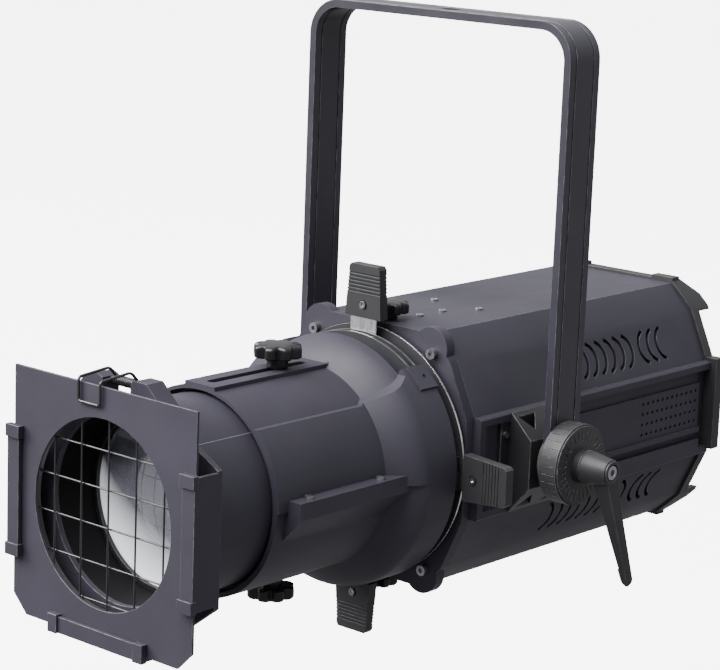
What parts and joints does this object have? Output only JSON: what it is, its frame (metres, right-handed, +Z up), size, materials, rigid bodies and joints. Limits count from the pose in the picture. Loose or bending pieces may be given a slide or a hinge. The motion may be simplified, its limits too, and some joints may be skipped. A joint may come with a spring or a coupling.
{
  "type": "ellipsoidal spotlight",
  "caption": "Profile spotlight hung from a yoke: square colour frame, sliding lens tube, rotating barrel with framing shutters, faceted vented LED housing.",
  "frame": {"origin": "centre of the clamp-bolt hole, on the top face of the yoke", "axes": "+Y along the optical axis from the front lens to the rear panel, +Z up along the clamp bolt, +X to the clamping-lever side"},
  "size_m": [0.291, 0.556, 0.4185],
  "materials": {
    "powder_coat": "fine textured black powder coat",
    "yoke_paint": "smooth satin black paint",
    "cast_black": "satin black paint over casting",
    "black_plastic": "moulded glass-filled plastic",
    "knob_plastic": "moulded plastic with a slight gloss",
    "bare_steel": "bright rolled sheet steel",
    "screw_steel": "zinc-plated fasteners",
    "black_wire": "black-plated spring wire",
    "lens_glass": "polished optical glass",
    "display_glass": "dark clear window",
    "aluminium": "extruded, as made",
    "circuit_board": "green solder mask",
    "led_phosphor": "yellow phosphor over a white board",
    "blue_plastic": "moulded plastic",
    "fibre": "pressed fibre washer"
  },
  "bodies": {
    "yoke": {"yoke": "yoke_paint", "friction_washers": "fibre"},
    "lamp_head": {"top_shell": "powder_coat", "bottom_shell": "powder_coat", "right_side_panel": "powder_coat", "left_side_panel": "powder_coat", "front_plate": "powder_coat", "rear_cap": "black_plastic", "rear_panel": "powder_coat", "housing_screws": "screw_steel", "right_bracket": "cast_black", "left_bracket": "cast_black", "pivot_bushes": "screw_steel", "tilt_discs": "black_plastic", "left_pivot_bolt": "cast_black", "display_window": "display_glass", "data_sockets": "black_plastic", "power_sockets": "blue_plastic", "fuse_holder": "black_plastic", "light_tube": "cast_black", "condenser_lens": "lens_glass", "led_module": "led_phosphor", "heat_sink": "aluminium", "fan_frame": "black_plastic", "driver_board": "circuit_board", "power_supply": "aluminium"},
    "tilt_clamp": {"clamp_stud": "cast_black", "lever_screw": "screw_steel"},
    "clamping_lever": {"clamping_lever": "black_plastic"},
    "rotation_knob_top": {"rotation_knob_top": "knob_plastic"},
    "rotation_knob_bottom": {"rotation_knob_bottom": "knob_plastic"},
    "barrel": {"barrel_upper": "powder_coat", "barrel_lower": "powder_coat", "barrel_screws": "screw_steel", "barrel_neck": "cast_black", "neck_retainer": "screw_steel", "shutter_guides": "bare_steel", "guide_posts": "screw_steel"},
    "shutter_top": {"blade_top": "bare_steel", "grip_top": "black_plastic"},
    "shutter_bottom": {"blade_bottom": "bare_steel", "grip_bottom": "black_plastic"},
    "shutter_left": {"blade_left": "bare_steel", "grip_left": "black_plastic"},
    "shutter_right": {"blade_right": "bare_steel", "grip_right": "black_plastic"},
    "lens_tube": {"lens_tube": "powder_coat", "front_lens": "lens_glass", "rear_lens": "lens_glass", "lens_rings": "cast_black", "frame_holder": "powder_coat", "colour_frame": "powder_coat", "wire_guard": "black_wire", "clip_block": "powder_coat"},
    "frame_clip": {"clip_spring": "black_wire"},
    "focus_knob_top": {"focus_knob_top": "knob_plastic"},
    "focus_knob_bottom": {"focus_knob_bottom": "knob_plastic"},
    "menu_button_1": {"menu_button_1": "knob_plastic"},
    "menu_button_2": {"menu_button_2": "knob_plastic"},
    "fan_rotor": {"fan_rotor": "black_plastic"}
  },
  "joints": [
    {"name": "head_tilt", "type": "hinge", "parent": "yoke", "child": "lamp_head", "pos_m": [0, 0, -0.29], "axis": [1, 0, 0], "range_deg": [-30, 100]},
    {"name": "clamp_turn", "type": "hinge", "parent": "lamp_head", "child": "tilt_clamp", "pos_m": [0, 0, -0.29], "axis": [1, 0, 0], "range_deg": [-60, 90]},
    {"name": "lever_lift", "type": "slide", "parent": "tilt_clamp", "child": "clamping_lever", "axis": [1, 0, 0], "range_m": [0, 0.005], "stiffness_N_per_m": 600, "springref_m": -0.005},
    {"name": "rotation_knob_top_turn", "type": "hinge", "parent": "lamp_head", "child": "rotation_knob_top", "pos_m": [0, -0.052, -0.205], "axis": [0, 0, 1], "range_deg": [0, 540]},
    {"name": "rotation_knob_bottom_turn", "type": "hinge", "parent": "lamp_head", "child": "rotation_knob_bottom", "pos_m": [0, -0.052, -0.379], "axis": [0, 0, -1], "range_deg": [0, 540]},
    {"name": "barrel_rotation", "type": "hinge", "parent": "lamp_head", "child": "barrel", "pos_m": [0, -0.06, -0.292], "axis": [0, 1, 0], "range_deg": [-25, 25]},
    {"name": "shutter_top_slide", "type": "slide", "parent": "barrel", "child": "shutter_top", "axis": [0, 0, 1], "range_m": [-0.003, 0.038]},
    {"name": "shutter_bottom_slide", "type": "slide", "parent": "barrel", "child": "shutter_bottom", "axis": [0, 0, -1], "range_m": [-0.003, 0.038]},
    {"name": "shutter_left_slide", "type": "slide", "parent": "barrel", "child": "shutter_left", "axis": [-1, 0, 0], "range_m": [-0.003, 0.038]},
    {"name": "shutter_right_slide", "type": "slide", "parent": "barrel", "child": "shutter_right", "axis": [1, 0, 0], "range_m": [-0.003, 0.038]},
    {"name": "focus_slide", "type": "slide", "parent": "barrel", "child": "lens_tube", "axis": [0, -1, 0], "range_m": [-0.022, 0.058]},
    {"name": "frame_clip_hinge", "type": "hinge", "parent": "lens_tube", "child": "frame_clip", "pos_m": [0, -0.282, -0.216], "axis": [-1, 0, 0], "range_deg": [0, 100], "stiffness_Nm_per_rad": 0.03, "springref_deg": -17.19},
    {"name": "focus_knob_top_turn", "type": "hinge", "parent": "lens_tube", "child": "focus_knob_top", "pos_m": [0, -0.16, -0.212], "axis": [0, 0, 1], "range_deg": [0, 540]},
    {"name": "focus_knob_bottom_turn", "type": "hinge", "parent": "lens_tube", "child": "focus_knob_bottom", "pos_m": [0, -0.16, -0.372], "axis": [0, 0, -1], "range_deg": [0, 540]},
    {"name": "menu_button_1_press", "type": "slide", "parent": "lamp_head", "child": "menu_button_1", "axis": [0, -1, 0], "range_m": [0, 0.0012], "stiffness_N_per_m": 800, "springref_m": -0.001},
    {"name": "menu_button_2_press", "type": "slide", "parent": "lamp_head", "child": "menu_button_2", "axis": [0, -1, 0], "range_m": [0, 0.0012], "stiffness_N_per_m": 800, "springref_m": -0.001},
    {"name": "fan_spin", "type": "hinge", "parent": "lamp_head", "child": "fan_rotor", "pos_m": [0, 0.14, -0.292], "axis": [0, 1, 0], "continuous": true}
  ]
}
